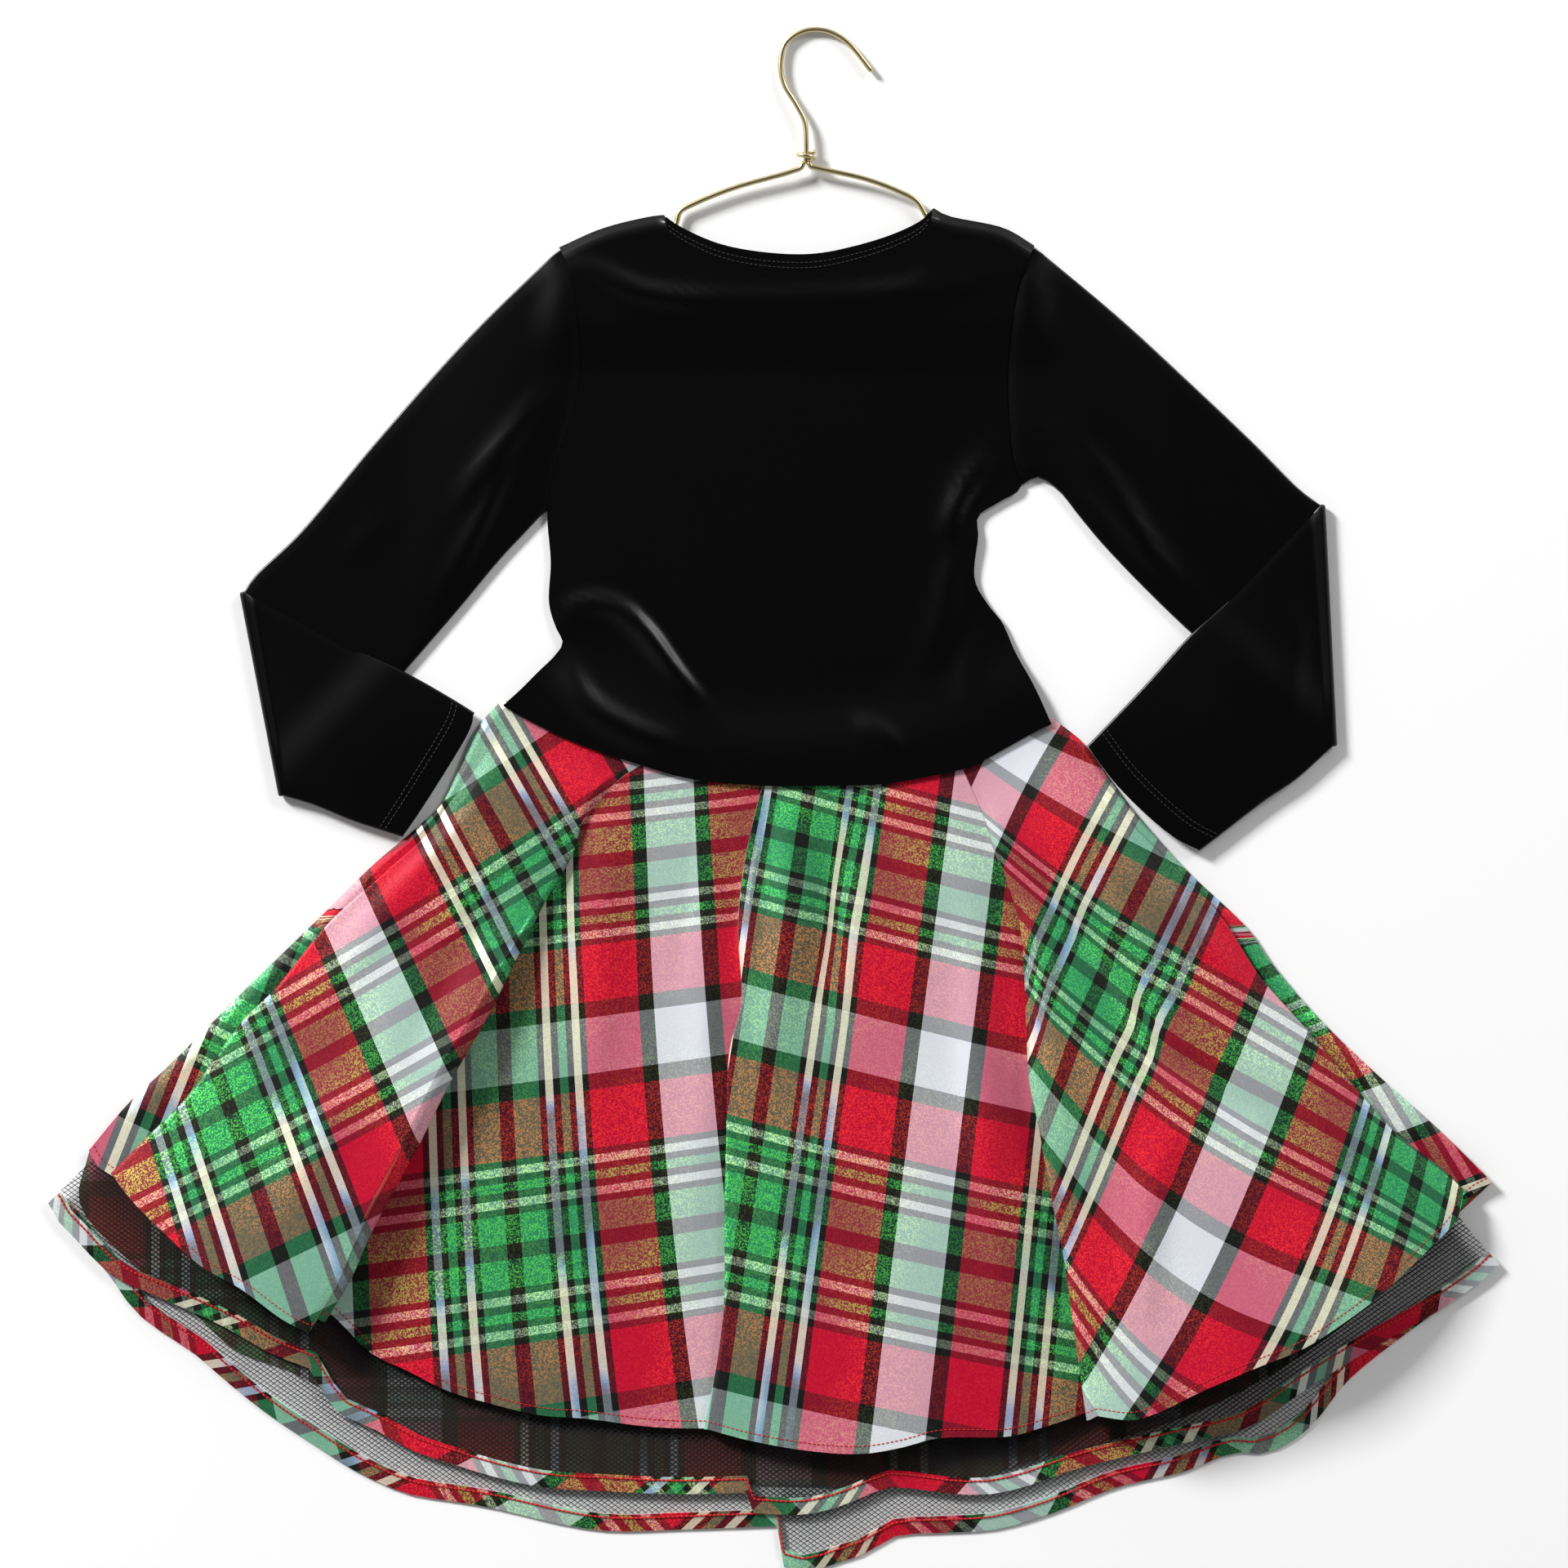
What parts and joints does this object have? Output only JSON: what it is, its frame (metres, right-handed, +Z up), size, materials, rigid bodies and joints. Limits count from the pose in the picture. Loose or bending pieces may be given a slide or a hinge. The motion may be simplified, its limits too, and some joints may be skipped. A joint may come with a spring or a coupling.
{
  "type": "plaid dress on a wire hanger",
  "caption": "Girl's long-sleeved dress laid flat, back up: velvet bodice and folded sleeves, fluted plaid circle skirt over a net petticoat with bias hem bands, wire hanger in its shoulders.",
  "frame": {"origin": "on the flat resting face of the front skirt, under the middle of the waist seam", "axes": "+Z up from the surface that the dress lies on, +Y from the hem towards the hanger's hook, +X to the right seen from above"},
  "size_m": [0.852, 0.9048, 0.0291],
  "materials": {
    "velvet": "black stretch velvet with a soft sheen along its folds",
    "plaid": "crisp woven plaid in red, green, white and black with metallic yarns, red topstitching at the hem",
    "net": "open black petticoat net, matt",
    "bias_band": "bias-cut band of the same plaid with red topstitching",
    "gilt_wire": "satin pale-gold wire"
  },
  "bodies": {
    "root": {"bodice_back": "velvet", "bodice_front": "velvet", "sleeve_left": "velvet", "sleeve_right": "velvet", "skirt_back": "plaid", "skirt_front": "plaid", "petticoat_back": "net", "petticoat_front": "net", "petticoat_back_band": "bias_band", "petticoat_front_band": "bias_band", "hanger_hook": "gilt_wire", "hanger_wrap": "gilt_wire", "hanger_left_arm": "gilt_wire", "hanger_right_arm": "gilt_wire", "hanger_bar": "gilt_wire"}
  },
  "joints": []
}
